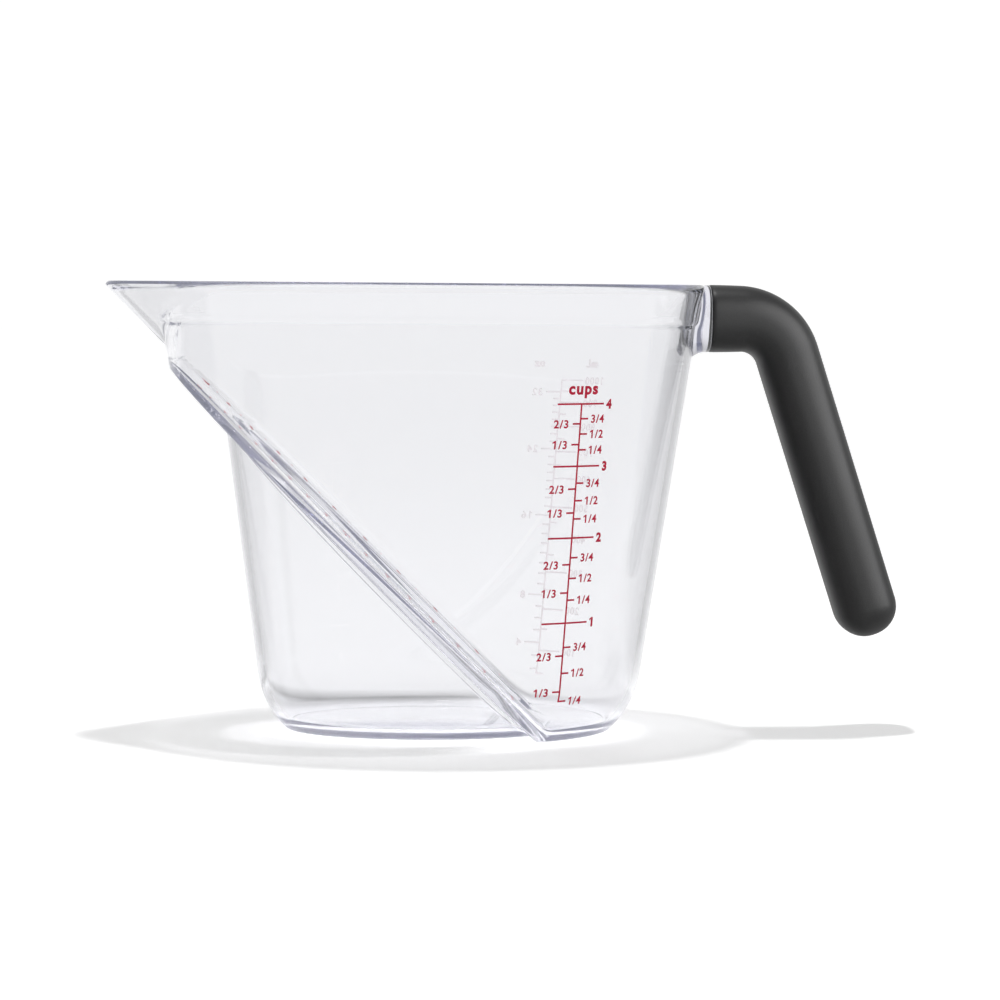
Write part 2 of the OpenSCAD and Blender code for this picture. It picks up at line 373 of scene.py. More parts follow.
# Place and heading of the handle's middle line at a distance from the collar's face
def spine(s):
    turn = max(0.0, min(bend_turn, (s - neck) / bend_r))
    run = max(0.0, s - leg_start)
    x = seat_x + min(s, neck) + bend_r * math.sin(turn) + run * math.cos(bend_turn)
    z = seat_z - bend_r * (1 - math.cos(turn)) - run * math.sin(bend_turn)
    return x, z, turn


# Pushes a share of a round section out towards a square one
def squared(share):
    return math.copysign(abs(share) ** (2 / squareness), share)


# A section across the handle, with rounded square corners
def across(s, deep, wide):
    x, z, turn = spine(s)
    points = []
    for j in range(HANDLE_PTS):
        t = 2 * math.pi * j / HANDLE_PTS
        up = deep / 2 * squared(math.cos(t))
        points.append((x + up * math.sin(turn), -wide / 2 * squared(math.sin(t)), z + up * math.cos(turn)))
    return points


def handle_rings(inset):
    stops = [neck * i / NECK_ROWS for i in range(NECK_ROWS)]
    stops += [between(neck, leg_start, i / BEND_ROWS) for i in range(BEND_ROWS + 1)]
    stops += [between(leg_start, leg_end, i / LEG_ROWS) for i in range(1, LEG_ROWS + 1)]
    rings = []
    for s in stops:
        deep = between(grip_deep, leg_deep, eased(s / leg_start))
        rings.append(across(s, deep - 2 * inset, grip_wide - 2 * inset))
    for i in range(1, TIP_ROWS + 1):
        t = math.pi / 2 * i / (TIP_ROWS + 1)
        s = leg_end + (leg_deep / 2 - inset) * math.sin(t)
        rings.append(across(s, (leg_deep - 2 * inset) * math.cos(t), (grip_wide - 2 * inset) * math.cos(t)))
    return rings


def handle_tip(inset):
    x, z, _ = spine(leg_end + leg_deep / 2 - inset)
    return x, 0.0, z


# How far out the middle of the end wall lies, at a place on it
def mid_wall(y, z):
    return half_length(z, 0.5) * math.sqrt(1 - (y / half_width(z, 0.5)) ** 2)


# The collar spreads out of the end wall and closes in to the grip's outline
def collar_rings():
    rings = []
    for i in range(COLLAR_ROWS):
        s = i / COLLAR_ROWS
        spread = root_flare * (1 - s) ** 2
        points = []
        for _, py, pz in across(0, grip_deep, grip_wide):
            y = py * (1 + 2 * spread / grip_wide)
            z = min(pz - max(0.0, seat_z - pz) * 2 * spread / grip_deep, height - collar_sink)
            points.append((between(mid_wall(y, z), seat_x, s), y, between(z, min(pz, z + collar_sink), s)))
        rings.append(points)
    return rings


def handle_core():
    core = handle_rings(grip_t + grip_fit)
    rings = collar_rings() + [across(0, grip_deep, grip_wide)] + core
    return loft("handle_core", rings, (mid_wall(0, seat_z), 0, seat_z), handle_tip(grip_t + grip_fit))


# Bakes the union of two closed pieces into the first and removes the second
def weld(piece, other):
    union = piece.modifiers.new("weld", "BOOLEAN")
    union.operation = "UNION"
    union.solver = "EXACT"
    union.object = other
    settled = piece.evaluated_get(bpy.context.evaluated_depsgraph_get())
    joined = bpy.data.meshes.new_from_object(settled)
    piece.modifiers.clear()
    piece.data = joined
    bpy.data.objects.remove(other)


# Smooths a piece, but for edges where its skin turns by more than a crease, in degrees
def smooth_skin(piece, crease):
    piece.data.shade_smooth()
    piece.data.set_sharp_from_angle(angle=math.radians(crease))


def new_material(name):
    material = bpy.data.materials.new(name)
    material.use_nodes = True
    material.node_tree.nodes.clear()
    return material, material.node_tree


def add_node(tree, kind, **settings):
    node = tree.nodes.new(kind)
    for key, value in settings.items():
        if key in node.inputs.keys():
            node.inputs[key].default_value = value
        else:
            setattr(node, key, value)
    return node


# A node that carries values from one range over to another
def carried(tree, from_low, from_high, to_low, to_high, **settings):
    node = add_node(tree, "ShaderNodeMapRange", **settings)
    node.inputs["From Min"].default_value = from_low
    node.inputs["From Max"].default_value = from_high
    node.inputs["To Min"].default_value = to_low
    node.inputs["To Max"].default_value = to_high
    return node


# Clear plastic: its tone, and how densely its tint gathers in each metre of plastic
plastic_tone = (0.94, 0.942, 0.95, 1)
plastic_ior = 1.57
violet_tint = (0.58, 0.575, 0.68, 1)
tint_depth = 26.0
# Painted glow: the plastic's volume gives off a little light of its own, standing in for light carried
# inside it
painted_glow_tone = (0.95, 1, 1, 1)
painted_glow_strength = 2.4
ripple_scale = 38.0
ripple_strength = 0.02
handled_scale = 16.0
handled_range = (0.4, 0.8)
most_dull = 0.03
# Light that the wall lets by, at each slant from square on to edge on
let_by = ((0.03, 0.93), (0.25, 0.2), (0.55, 0.2), (0.8, 0.75))
# Heights in metres over which the curve into the base takes over, and then the floor, and what they let by
curve_starts = 0.036
curve_ends = 0.014
floor_starts = 0.007
floor_ends = 0.0035
curve_lets_by = 0.97
floor_lets_by = 0.45


# Long flow ripples bend the view a little, and handling leaves faintly duller patches. The volume has a
# painted glow for light carried inside it. Its shadow is paler where light meets the wall square on or
# along an edge
def clear_plastic():
    material, tree = new_material("clear_plastic")
    output = add_node(tree, "ShaderNodeOutputMaterial")
    shader = add_node(tree, "ShaderNodeBsdfPrincipled")
    shader.inputs["Base Color"].default_value = plastic_tone
    shader.inputs["Transmission Weight"].default_value = 1.0
    shader.inputs["IOR"].default_value = plastic_ior
    place = add_node(tree, "ShaderNodeTexCoord")
    ripple = add_node(tree, "ShaderNodeTexNoise", Scale=ripple_scale, Detail=1.0)
    bump = add_node(tree, "ShaderNodeBump", Strength=ripple_strength, Distance=MM)
    tree.links.new(place.outputs["Object"], ripple.inputs["Vector"])
    tree.links.new(ripple.outputs["Fac"], bump.inputs["Height"])
    tree.links.new(bump.outputs["Normal"], shader.inputs["Normal"])
    handled = add_node(tree, "ShaderNodeTexNoise", Scale=handled_scale, Detail=3.0)
    dullness = carried(tree, *handled_range, 0, most_dull)
    tree.links.new(place.outputs["Object"], handled.inputs["Vector"])
    tree.links.new(handled.outputs["Fac"], dullness.inputs["Value"])
    tree.links.new(dullness.outputs["Result"], shader.inputs["Roughness"])
    tint = add_node(tree, "ShaderNodeVolumeAbsorption", Color=violet_tint, Density=tint_depth)
    # Painted glow inside the plastic
    painted_glow = add_node(tree, "ShaderNodeEmission", Color=painted_glow_tone, Strength=painted_glow_strength)
    inside = add_node(tree, "ShaderNodeAddShader")
    tree.links.new(tint.outputs["Volume"], inside.inputs[0])
    tree.links.new(painted_glow.outputs["Emission"], inside.inputs[1])
    slant = add_node(tree, "ShaderNodeLayerWeight", Blend=0.5)
    passed = add_node(tree, "ShaderNodeValToRGB")
    for turned, _ in let_by[1:-1]:
        passed.color_ramp.elements.new(turned)
    for stop, (turned, clear) in zip(passed.color_ramp.elements, let_by):
        stop.position = turned
        stop.color = (clear, clear, clear, 1)
    split = add_node(tree, "ShaderNodeSeparateXYZ")
    near_base = carried(tree, curve_starts, curve_ends, 0, 1)
    spread = add_node(tree, "ShaderNodeMix", data_type="RGBA")
    under_floor = carried(tree, floor_ends, floor_starts, floor_lets_by, curve_lets_by)
    see_through = add_node(tree, "ShaderNodeBsdfTransparent")
    path = add_node(tree, "ShaderNodeLightPath")
    lets_light_by = add_node(tree, "ShaderNodeMixShader")
    tree.links.new(slant.outputs["Facing"], passed.inputs["Fac"])
    tree.links.new(place.outputs["Object"], split.inputs["Vector"])
    tree.links.new(split.outputs["Z"], near_base.inputs["Value"])
    tree.links.new(near_base.outputs["Result"], spread.inputs["Factor"])
    tree.links.new(split.outputs["Z"], under_floor.inputs["Value"])
    tree.links.new(under_floor.outputs["Result"], spread.inputs["B"])
    tree.links.new(passed.outputs["Color"], spread.inputs["A"])
    tree.links.new(spread.outputs["Result"], see_through.inputs["Color"])
    tree.links.new(path.outputs["Is Shadow Ray"], lets_light_by.inputs["Fac"])
    tree.links.new(shader.outputs["BSDF"], lets_light_by.inputs[1])
    tree.links.new(see_through.outputs["BSDF"], lets_light_by.inputs[2])
    tree.links.new(lets_light_by.outputs["Shader"], output.inputs["Surface"])
    tree.links.new(inside.outputs["Shader"], output.inputs["Volume"])
    return material


cup_crease = 32
cup = bowl_shell()
weld(cup, handle_core())
smooth_skin(cup, cup_crease)
cup.data.materials.clear()
cup.data.materials.append(clear_plastic())
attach(cup, "root")
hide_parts("cup_body")


# Grip
# A soft dark sleeve moulded over the handle's core and seated against the collar: matte, finely grained,
# squarish in section with a rounded mouth edge and a round closed end.
mouth_round = 0.8
grip_crease = 40
grip_black = (0.003, 0.003, 0.0032, 1)
grip_grey = (0.007, 0.007, 0.0072, 1)
grip_tones_at = (0.3, 0.75)
grip_gloss = 0.24
grip_dullness = (0.40, 0.50)
grain_scale = 2600.0
grain_strength = 0.25
grain_depth = 0.1 * MM
polish_scale = 60.0
MOUTH_ROWS = 5


def grip_sleeve():
    mouth = []
    for i in range(MOUTH_ROWS):
        turn = math.pi / 2 * i / MOUTH_ROWS
        inset = mouth_round * (1 - math.sin(turn))
        s = mouth_round * (1 - math.cos(turn))
        mouth.append(across(s, grip_deep - 2 * inset, grip_wide - 2 * inset))
    outside = handle_rings(0)
    rings = handle_rings(grip_t)[::-1] + mouth + outside[1:]
    return loft("grip_sleeve", rings, handle_tip(grip_t), handle_tip(0))


# Soft grip plastic: charcoal with a fine spark-eroded grain and slightly polished patches
def soft_grip():
    material, tree = new_material("soft_grip")
    output = add_node(tree, "ShaderNodeOutputMaterial")
    shader = add_node(tree, "ShaderNodeBsdfPrincipled")
    shader.inputs["Specular IOR Level"].default_value = grip_gloss
    place = add_node(tree, "ShaderNodeTexCoord")
    grain = add_node(tree, "ShaderNodeTexNoise", Scale=grain_scale, Detail=2.0)
    patches = add_node(tree, "ShaderNodeTexNoise", Scale=polish_scale, Detail=3.0)
    shade = add_node(tree, "ShaderNodeValToRGB")
    for stop, position, tone in zip(shade.color_ramp.elements, grip_tones_at, (grip_black, grip_grey)):
        stop.position = position
        stop.color = tone
    dullness = carried(tree, 0, 1, *grip_dullness)
    bump = add_node(tree, "ShaderNodeBump", Strength=grain_strength, Distance=grain_depth)
    for texture in (grain, patches):
        tree.links.new(place.outputs["Object"], texture.inputs["Vector"])
    tree.links.new(grain.outputs["Fac"], shade.inputs["Fac"])
    tree.links.new(shade.outputs["Color"], shader.inputs["Base Color"])
    tree.links.new(patches.outputs["Fac"], dullness.inputs["Value"])
    tree.links.new(dullness.outputs["Result"], shader.inputs["Roughness"])
    tree.links.new(grain.outputs["Fac"], bump.inputs["Height"])
    tree.links.new(bump.outputs["Normal"], shader.inputs["Normal"])
    tree.links.new(shader.outputs["BSDF"], output.inputs["Surface"])
    return material


grip = grip_sleeve()
smooth_skin(grip, grip_crease)
grip.data.materials.append(soft_grip())
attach(grip, "root")
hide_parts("grip")


# Printed cup scale
# Crimson ink screened on the outside of the near wall over a thin white ground: a stem with ticks for whole
# cups, quarters and thirds. Each tick stands at the height to which its volume fills the bowl.
CUP_ML = 236.588
cups_held = 4
# Heights at which the bowl's volume is worked out, starting just above the floor
LEVELS = 260
FIRST_LEVEL = 0.01
MM3_IN_ML = 1000
# Length of a slice of a printed line, and steps along a letter's curve
SLICE = 1.2
LETTER_STEPS = 4
ink_t = 0.03
ground_t = 0.02
ground_gap = 0.02
ink_gap = 0.05
crimson_tones = ((0.54, 0.003, 0.040, 1), (0.42, 0.002, 0.030, 1))
ground_tones = ((0.88, 0.82, 0.83, 1), (0.82, 0.76, 0.77, 1))
# Painted glow of the white ground, standing in for light coming through it from behind
ground_painted_glow = 0.63
ink_gloss = 0.25
ink_dullness = (0.35, 0.55)
mottle_scale = 900.0
mottle_range = (0.35, 0.7)
line_wide = 0.55
cup_scale_turn = math.radians(-54.3)
cup_scale_lean = math.radians(-0.027)
long_tick = 8.0
short_tick = 2.6
small_letter = 3.4
bold_letter = 3.75
header_letter = 4.9
plain_weight = 0.09
bold_weight = 0.20
letter_gap = 1.16
# Gaps from a tick to its label, and the header's place over the stem
whole_gap = 1.1
quarter_gap = 1.0
third_gap = 1.3
header_aside = 0.4
header_rise = 3.0
# Corners of the flag on a figure one, right and down, as shares of the letter's size
ONE_FLAG = ((0.06, 0), (-0.17, 0.13), (-0.17, 0.26), (0.06, 0.16))


def section_area(z):
    half = np.array(half_section(z, 1))
    return abs(np.sum(half[:-1, 0] * half[1:, 1] - half[1:, 0] * half[:-1, 1]))


fill_heights = np.linspace(floor_t + FIRST_LEVEL, height - wall, LEVELS)
fill_areas = np.array([section_area(z) for z in fill_heights])
fill_steps = (fill_areas[1:] + fill_areas[:-1]) / 2 * np.diff(fill_heights)
fill_volumes = np.concatenate([[0.0], np.cumsum(fill_steps)]) / MM3_IN_ML


def fill_height(millilitres):
    return float(np.interp(millilitres, fill_volumes, fill_heights))


# A thin print: its points lie right and up in its own plane, in millimetres, with a height off the surface
class Print:
    def __init__(self, thick):
        self.thick = thick
        self.points = []
        self.faces = []

    def add(self, points, faces):
        first = len(self.points)
        self.points += points
        self.faces += [tuple(first + i for i in face) for face in faces]

    def bar(self, left, right, low, high):
        upright = high - low > right - left
        slices = max(1, round(max(high - low, right - left) / SLICE))
        points = []
        for i in range(slices + 1):
            if upright:
                level = between(low, high, i / slices)
                edge = ((right, level), (left, level))
            else:
                reach = between(left, right, i / slices)
                edge = ((reach, low), (reach, high))
            points += [(x, y, 0) for x, y in edge] + [(x, y, self.thick) for x, y in edge[::-1]]
        last = 4 * slices
        faces = [(0, 3, 2, 1), (last, last + 1, last + 2, last + 3)]
        for i in range(0, last, 4):
            for j in range(4):
                k = (j + 1) % 4
                faces.append((i + j, i + k, i + 4 + k, i + 4 + j))
        self.add(points, faces)

    def tick(self, left, right, level):
        self.bar(left, right, level - line_wide / 2, level + line_wide / 2)

    def stem(self, low, high):
        self.bar(-line_wide / 2, line_wide / 2, low - line_wide / 2, high + line_wide / 2)

    # The slanting flag at the head of a figure one
    def flag(self, left, top, size):
        outline = [(left + right * size, top - down * size) for right, down in ONE_FLAG]
        points = [(x, y, up) for up in (0, self.thick) for x, y in outline]
        faces = [(3, 2, 1, 0), (4, 5, 6, 7)]
        faces += [(i, (i + 1) % 4, 4 + (i + 1) % 4, 4 + i) for i in range(4)]
        self.add(points, faces)

    def words(self, text, x, middle, size, align, weight):
        curve = bpy.data.curves.new("words", "FONT")
        curve.body = text
        curve.size = size
        curve.align_x = align
        curve.offset = weight
        curve.space_character = letter_gap
        curve.extrude = self.thick / 2
        curve.resolution_u = LETTER_STEPS
        holder = bpy.data.objects.new("words", curve)
        mesh = holder.to_mesh()
        corners = [(v.co.x, v.co.y, v.co.z + self.thick / 2) for v in mesh.vertices]
        top = max(corner[1] for corner in corners)
        drop = middle - top / 2 if text[0].isdigit() else middle
        faces = [tuple(p.vertices) for p in mesh.polygons]
        self.add([(x + cx, drop + cy, cz) for cx, cy, cz in corners], faces)
        if text[0] == "1":
            self.flag(x + min(corner[0] for corner in corners), drop + top, size)
        holder.to_mesh_clear()
        bpy.data.objects.remove(holder)
        bpy.data.curves.remove(curve)

    def piece(self, name, place, material):
        mesh = bpy.data.meshes.new(name)
        mesh.from_pydata([tuple(c * MM for c in place(*p)) for p in self.points], [], self.faces)
        mesh.validate()
        made = bpy.data.objects.new(name, mesh)
        bpy.context.scene.collection.objects.link(made)
        made.data.materials.append(material)
        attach(made, "root")
        return made


# Lays a print on the outside of the wall, with its stem at a turn round the oval that shifts as it climbs
def on_wall(turn, lean, off):
    def place(right, z, up):
        skin = -(off + up) / wall
        stem = turn + lean * z
        a = half_length(z, skin)
        b = half_width(z, skin)
        t = stem + right / math.hypot(a * math.sin(stem), b * math.cos(stem))
        return a * math.cos(t), b * math.sin(t), z
    return place


def cup_scale(thick):
    scale = Print(thick)
    low = fill_height(CUP_ML / 4)
    top = fill_height(cups_held * CUP_ML)
    scale.stem(low, top)
    for whole in range(cups_held):
        level = fill_height((whole + 1) * CUP_ML)
        scale.tick(-long_tick, long_tick, level)
        scale.words(str(whole + 1), long_tick + whole_gap, level, bold_letter, "LEFT", bold_weight)
        for part, label in ((1 / 4, "1/4"), (1 / 2, "1/2"), (3 / 4, "3/4")):
            level = fill_height((whole + part) * CUP_ML)
            scale.tick(0, short_tick, level)
            scale.words(label, short_tick + quarter_gap, level, small_letter, "LEFT", plain_weight)
        for part, label in ((1 / 3, "1/3"), (2 / 3, "2/3")):
            level = fill_height((whole + part) * CUP_ML)
            scale.tick(-short_tick, 0, level)
            scale.words(label, -short_tick - third_gap, level, small_letter, "RIGHT", plain_weight)
    scale.words("cups", header_aside, top + header_rise, header_letter, "CENTER", bold_weight)
    return scale


# Screen ink: finely mottled. A ground has a painted glow that stands in for light coming through it from
# behind
def ink(name, pale, deep, painted_backlight):
    material, tree = new_material(name)
    output = add_node(tree, "ShaderNodeOutputMaterial")
    shader = add_node(tree, "ShaderNodeBsdfPrincipled")
    place = add_node(tree, "ShaderNodeTexCoord")
    shader.inputs["Specular IOR Level"].default_value = ink_gloss
    shader.inputs["Emission Color"].default_value = pale
    shader.inputs["Emission Strength"].default_value = painted_backlight
    mottle = add_node(tree, "ShaderNodeTexNoise", Scale=mottle_scale, Detail=2.0)
    shade = add_node(tree, "ShaderNodeValToRGB")
    for stop, position, tone in zip(shade.color_ramp.elements, mottle_range, (deep, pale)):
        stop.position = position
        stop.color = tone
    dullness = carried(tree, 0, 1, *ink_dullness)
    tree.links.new(place.outputs["Object"], mottle.inputs["Vector"])
    tree.links.new(mottle.outputs["Fac"], shade.inputs["Fac"])
    tree.links.new(mottle.outputs["Fac"], dullness.inputs["Value"])
    tree.links.new(shade.outputs["Color"], shader.inputs["Base Color"])
    tree.links.new(dullness.outputs["Result"], shader.inputs["Roughness"])
    tree.links.new(shader.outputs["BSDF"], output.inputs["Surface"])
    return material


crimson = ink("crimson_ink", *crimson_tones, 0)
white_ground = ink("white_ground", *ground_tones, ground_painted_glow)
ink_place = on_wall(cup_scale_turn, cup_scale_lean, ink_gap)
ground_place = on_wall(cup_scale_turn, cup_scale_lean, ground_gap)
cup_scale(ink_t).piece("cup_scale", ink_place, crimson)
cup_scale(ground_t).piece("cup_scale_ground", ground_place, white_ground)


# Printed volume scale
# The same crimson over white on the far wall, facing away: millilitres to the left of its stem and fluid
# ounces to the right. From the near side only its pale ground shows through the bowl.
OUNCE_ML = 29.5735
volume_scale_turn = math.radians(55.5)
first_ml = 50
last_ml = 1000
step_ml = 50
numbered_ml = 100
first_oz = 2
last_oz = 32
numbered_oz = (4, 8, 16, 24, 32)
ounce_tick = 5.4
ml_gap = 0.8
ounce_gap = 1.1
unit_rise = 4.5


def volume_scale(thick):
    scale = Print(thick)
    top = fill_height(last_ml)
    scale.stem(fill_height(first_ml), top)
    for millilitres in range(first_ml, last_ml + 1, step_ml):
        level = fill_height(millilitres)
        if millilitres % numbered_ml:
            scale.tick(-short_tick, 0, level)
        else:
            scale.tick(-long_tick, 0, level)
            scale.words(str(millilitres), -long_tick - ml_gap, level, small_letter, "RIGHT", plain_weight)
    for ounces in range(first_oz, last_oz + 1):
        level = fill_height(ounces * OUNCE_ML)
        if ounces in numbered_oz:
            scale.tick(0, ounce_tick, level)
            scale.words(str(ounces), ounce_tick + ounce_gap, level, small_letter, "LEFT", plain_weight)
        else:
            scale.tick(0, short_tick, level)
    scale.words("mL", -long_tick - ml_gap, top + unit_rise, small_letter, "RIGHT", bold_weight)
    scale.words("oz", ounce_tick + ounce_gap, top + unit_rise, small_letter, "LEFT", bold_weight)
    return scale


ink_place = on_wall(volume_scale_turn, 0, ink_gap)
ground_place = on_wall(volume_scale_turn, 0, ground_gap)
volume_scale(ink_t).piece("volume_scale", ink_place, crimson)
volume_scale(ground_t).piece("volume_scale_ground", ground_place, white_ground)


# Ledge scale
# Crimson over white on the upper face of the sloping ledge, read from above while pouring: cups along its
# near side and millilitres along its far side, each mark where the liquid's edge crosses the slope.
ledge_margin = 6.0
ledge_tick = 3.2
ledge_short_tick = 1.6
ledge_letter = 4.2
ledge_small_letter = 2.5
ledge_whole_gap = 0.7
ledge_quarter_gap = 0.4
ledge_number_end = 0.7
ledge_line_start = 1.2
ledge_header_rise = 3.6
ledge_last_ml = 950


# Lays a print on the ledge's upper face, to the right of a line that keeps its distance from the wall
def on_ledge(side, off):
    def place(right, along, up):
        z = along * math.sin(ramp_tilt)
        x = ramp_x(z, 1)
        y = half_width(z, 1) * math.sqrt(1 - (x / half_length(z, 1)) ** 2) - ledge_margin
        lift = off + up
        return x + lift * math.sin(ramp_tilt), side * y + right, z + lift * math.cos(ramp_tilt)
    return place


def slope_length(millilitres):
    return fill_height(millilitres) / math.sin(ramp_tilt)


def ledge_cups(thick):
    scale = Print(thick)
    for quarters in range(1, 4 * cups_held + 1):
        along = slope_length(quarters * CUP_ML / 4)
        if quarters % 4:
            scale.tick(-ledge_tick, -ledge_tick + ledge_short_tick, along)
            label = ("1/4", "1/2", "3/4")[quarters % 4 - 1]
            left = ledge_quarter_gap - ledge_short_tick
            scale.words(label, left, along, ledge_small_letter, "LEFT", plain_weight / 2)
        else:
            scale.tick(-ledge_tick, 0, along)
            scale.words(str(quarters // 4), ledge_whole_gap, along, ledge_letter, "LEFT", bold_weight)
    header = slope_length(cups_held * CUP_ML) + ledge_header_rise
    scale.words("cups", -ledge_tick, header, ledge_letter, "LEFT", bold_weight)
    return scale


def ledge_millilitres(thick):
    scale = Print(thick)
    for millilitres in range(first_ml, ledge_last_ml + 1, step_ml):
        along = slope_length(millilitres)
        if millilitres % numbered_ml:
            scale.tick(ledge_tick - ledge_short_tick, ledge_tick, along)
        else:
            scale.tick(ledge_line_start, ledge_tick, along)
            label = str(millilitres)
            scale.words(label, ledge_number_end, along, ledge_small_letter, "RIGHT", plain_weight)
    header = slope_length(ledge_last_ml) + ledge_header_rise
    scale.words("mL", ledge_tick, header, ledge_letter, "RIGHT", bold_weight)
    return scale


for side, name, scale in ((-1, "ledge_cups", ledge_cups), (1, "ledge_millilitres", ledge_millilitres)):
    scale(ink_t).piece(name, on_ledge(side, ink_gap), crimson)
    scale(ground_t).piece(name + "_ground", on_ledge(side, ground_gap), white_ground)


# Studio
# A white lit table, a small lamp high above it, a soft box that lights the grip alone, and grey sheets of
# painted shade behind the cup. The room is white behind and dim in front and overhead, and the camera
# stands level with the rim.
# Sizes here are in metres.
table_r = 8.0
table_white = (0.86, 0.86, 0.86, 1)
table_dullness = 0.6
table_gloss = 0.1
table_glow = 0.28
far_share = 0.25
stand_gap = 0.0003
lamp_place = Vector((-0.03, 0.09, 1.25))
lamp_aim = (0, 0, 0)
lamp_size = 0.06
lamp_watts = 6.8
box_place = (0.92, -0.74, 0.45)
box_aim = (0.1, 0, 0.08)
box_size = 1.7
box_watts = 58
TABLE_PTS = 96


# The table's own glow rises as the lamp's light thins out, by (1 + (distance / height)^2)^-2, so that the
# table stays evenly white
def lit_white():
    material, tree = new_material("lit_white")
    output = add_node(tree, "ShaderNodeOutputMaterial")
    shader = add_node(tree, "ShaderNodeBsdfPrincipled", Roughness=table_dullness)
    shader.inputs["Base Color"].default_value = table_white
    shader.inputs["Specular IOR Level"].default_value = table_gloss
    shader.inputs["Emission Color"].default_value = (1, 1, 1, 1)
    place = add_node(tree, "ShaderNodeTexCoord")
    away = add_node(tree, "ShaderNodeVectorMath", operation="DISTANCE")
    away.inputs[1].default_value = (lamp_place.x, lamp_place.y, 0)
    against_height = add_node(tree, "ShaderNodeMath", operation="DIVIDE")
    against_height.inputs[1].default_value = lamp_place.z
    squared_up = add_node(tree, "ShaderNodeMath", operation="POWER")
    squared_up.inputs[1].default_value = 2
    longer = add_node(tree, "ShaderNodeMath", operation="ADD")
    longer.inputs[1].default_value = 1
    thinned = add_node(tree, "ShaderNodeMath", operation="POWER")
    thinned.inputs[1].default_value = -2
    glow = carried(tree, 0, 1, table_glow + far_share, table_glow)
    tree.links.new(place.outputs["Object"], away.inputs[0])
    tree.links.new(away.outputs["Value"], against_height.inputs[0])
    tree.links.new(against_height.outputs[0], squared_up.inputs[0])
    tree.links.new(squared_up.outputs[0], longer.inputs[0])
    tree.links.new(longer.outputs[0], thinned.inputs[0])
    tree.links.new(thinned.outputs[0], glow.inputs["Value"])
    tree.links.new(glow.outputs["Result"], shader.inputs["Emission Strength"])
    tree.links.new(shader.outputs["BSDF"], output.inputs["Surface"])
    return material


def white_table():
    turns = [2 * math.pi * i / TABLE_PTS for i in range(TABLE_PTS)]
    edge = [(table_r * math.cos(t), table_r * math.sin(t), -stand_gap) for t in turns]
    mesh = bpy.data.meshes.new("floor")
    mesh.from_pydata(edge, [], [tuple(range(TABLE_PTS))])
    table = bpy.data.objects.new("floor", mesh)
    bpy.context.scene.collection.objects.link(table)
    mesh.materials.append(lit_white())
    return table


table = white_table()


def lamp(name, place, aim, size, watts):
    light = bpy.data.lights.new(name, "AREA")
    light.shape = "DISK"
    light.size = size
    light.energy = watts
    holder = bpy.data.objects.new(name, light)
    bpy.context.scene.collection.objects.link(holder)
    holder.location = place
    holder.rotation_euler = (Vector(aim) - Vector(place)).to_track_quat("-Z", "Y").to_euler()
    holder.visible_camera = False
    return holder


lamp("key_lamp", lamp_place, lamp_aim, lamp_size, lamp_watts)
side_box = lamp("side_box", box_place, box_aim, box_size, box_watts)
lit_by_box = bpy.data.collections.new("lit_by_box")
lit_by_box.objects.link(grip)
side_box.light_linking.receiver_collection = lit_by_box


# Three grey sheets of painted shade, seen only through the clear plastic, darken what lies behind the cup:
# a folded one at each end paints the walls' dark outlines, and a flat one paints the grey band at the far
# edge of the base. Each fades out to clear
def gel(name, corners, faces, fades, dark):
    material, tree = new_material(name)
    output = add_node(tree, "ShaderNodeOutputMaterial")
    place = add_node(tree, "ShaderNodeTexCoord")
    split = add_node(tree, "ShaderNodeSeparateXYZ")
    tone = add_node(tree, "ShaderNodeMix", data_type="RGBA")
    tone.inputs["A"].default_value = (1, 1, 1, 1)
    tone.inputs["B"].default_value = (dark, dark, dark, 1)
    shade = add_node(tree, "ShaderNodeBsdfTransparent")
    tree.links.new(place.outputs["Object"], split.inputs["Vector"])
    share = None
    for axis, clear_at, grey_at in fades:
        fade = carried(tree, clear_at, grey_at, 0, 1)
        tree.links.new(split.outputs[axis], fade.inputs["Value"])
        if share:
            tree.links.new(share, fade.inputs["To Max"])
        share = fade.outputs["Result"]
    tree.links.new(share, tone.inputs["Factor"])
    tree.links.new(tone.outputs["Result"], shade.inputs["Color"])
    tree.links.new(shade.outputs["BSDF"], output.inputs["Surface"])
    mesh = bpy.data.meshes.new(name)
    mesh.from_pydata(corners, [], faces)
    mesh.materials.append(material)
    sheet = bpy.data.objects.new(name, mesh)
    bpy.context.scene.collection.objects.link(sheet)
    sheet.visible_camera = False
    sheet.visible_diffuse = False
    sheet.visible_shadow = False


# Painted shade: how far the end sheets darken what is seen through the walls
end_sheet_painted_shade = 0.63
end_gel_near = {-1: 0.066, 1: 0.086}
end_gel_fade = 0.07
end_gel_high = {-1: 0.085, 1: 0.115}
end_gel_far = 0.8
end_gel_back = 0.13
end_gel_front_fade = 0.035


def end_gel(name, side):
    near = end_gel_near[side]
    high = end_gel_high[side]
    outline = ((near, 0, 0), (end_gel_far, 0, 0), (end_gel_far, end_gel_back, 0), (near, end_gel_back, 0),
               (end_gel_far, end_gel_back, high), (near + high * end_slope, end_gel_back, high))
    corners = [(side * x, y, z) for x, y, z in outline]
    fades = (("X", side * near, side * (near + end_gel_fade)), ("Y", 0, end_gel_front_fade))
    gel(name, corners, ((0, 1, 2, 3), (3, 2, 4, 5)), fades, end_sheet_painted_shade)


end_gel("spout_end_shade_sheet", -1)
end_gel("handle_end_shade_sheet", 1)

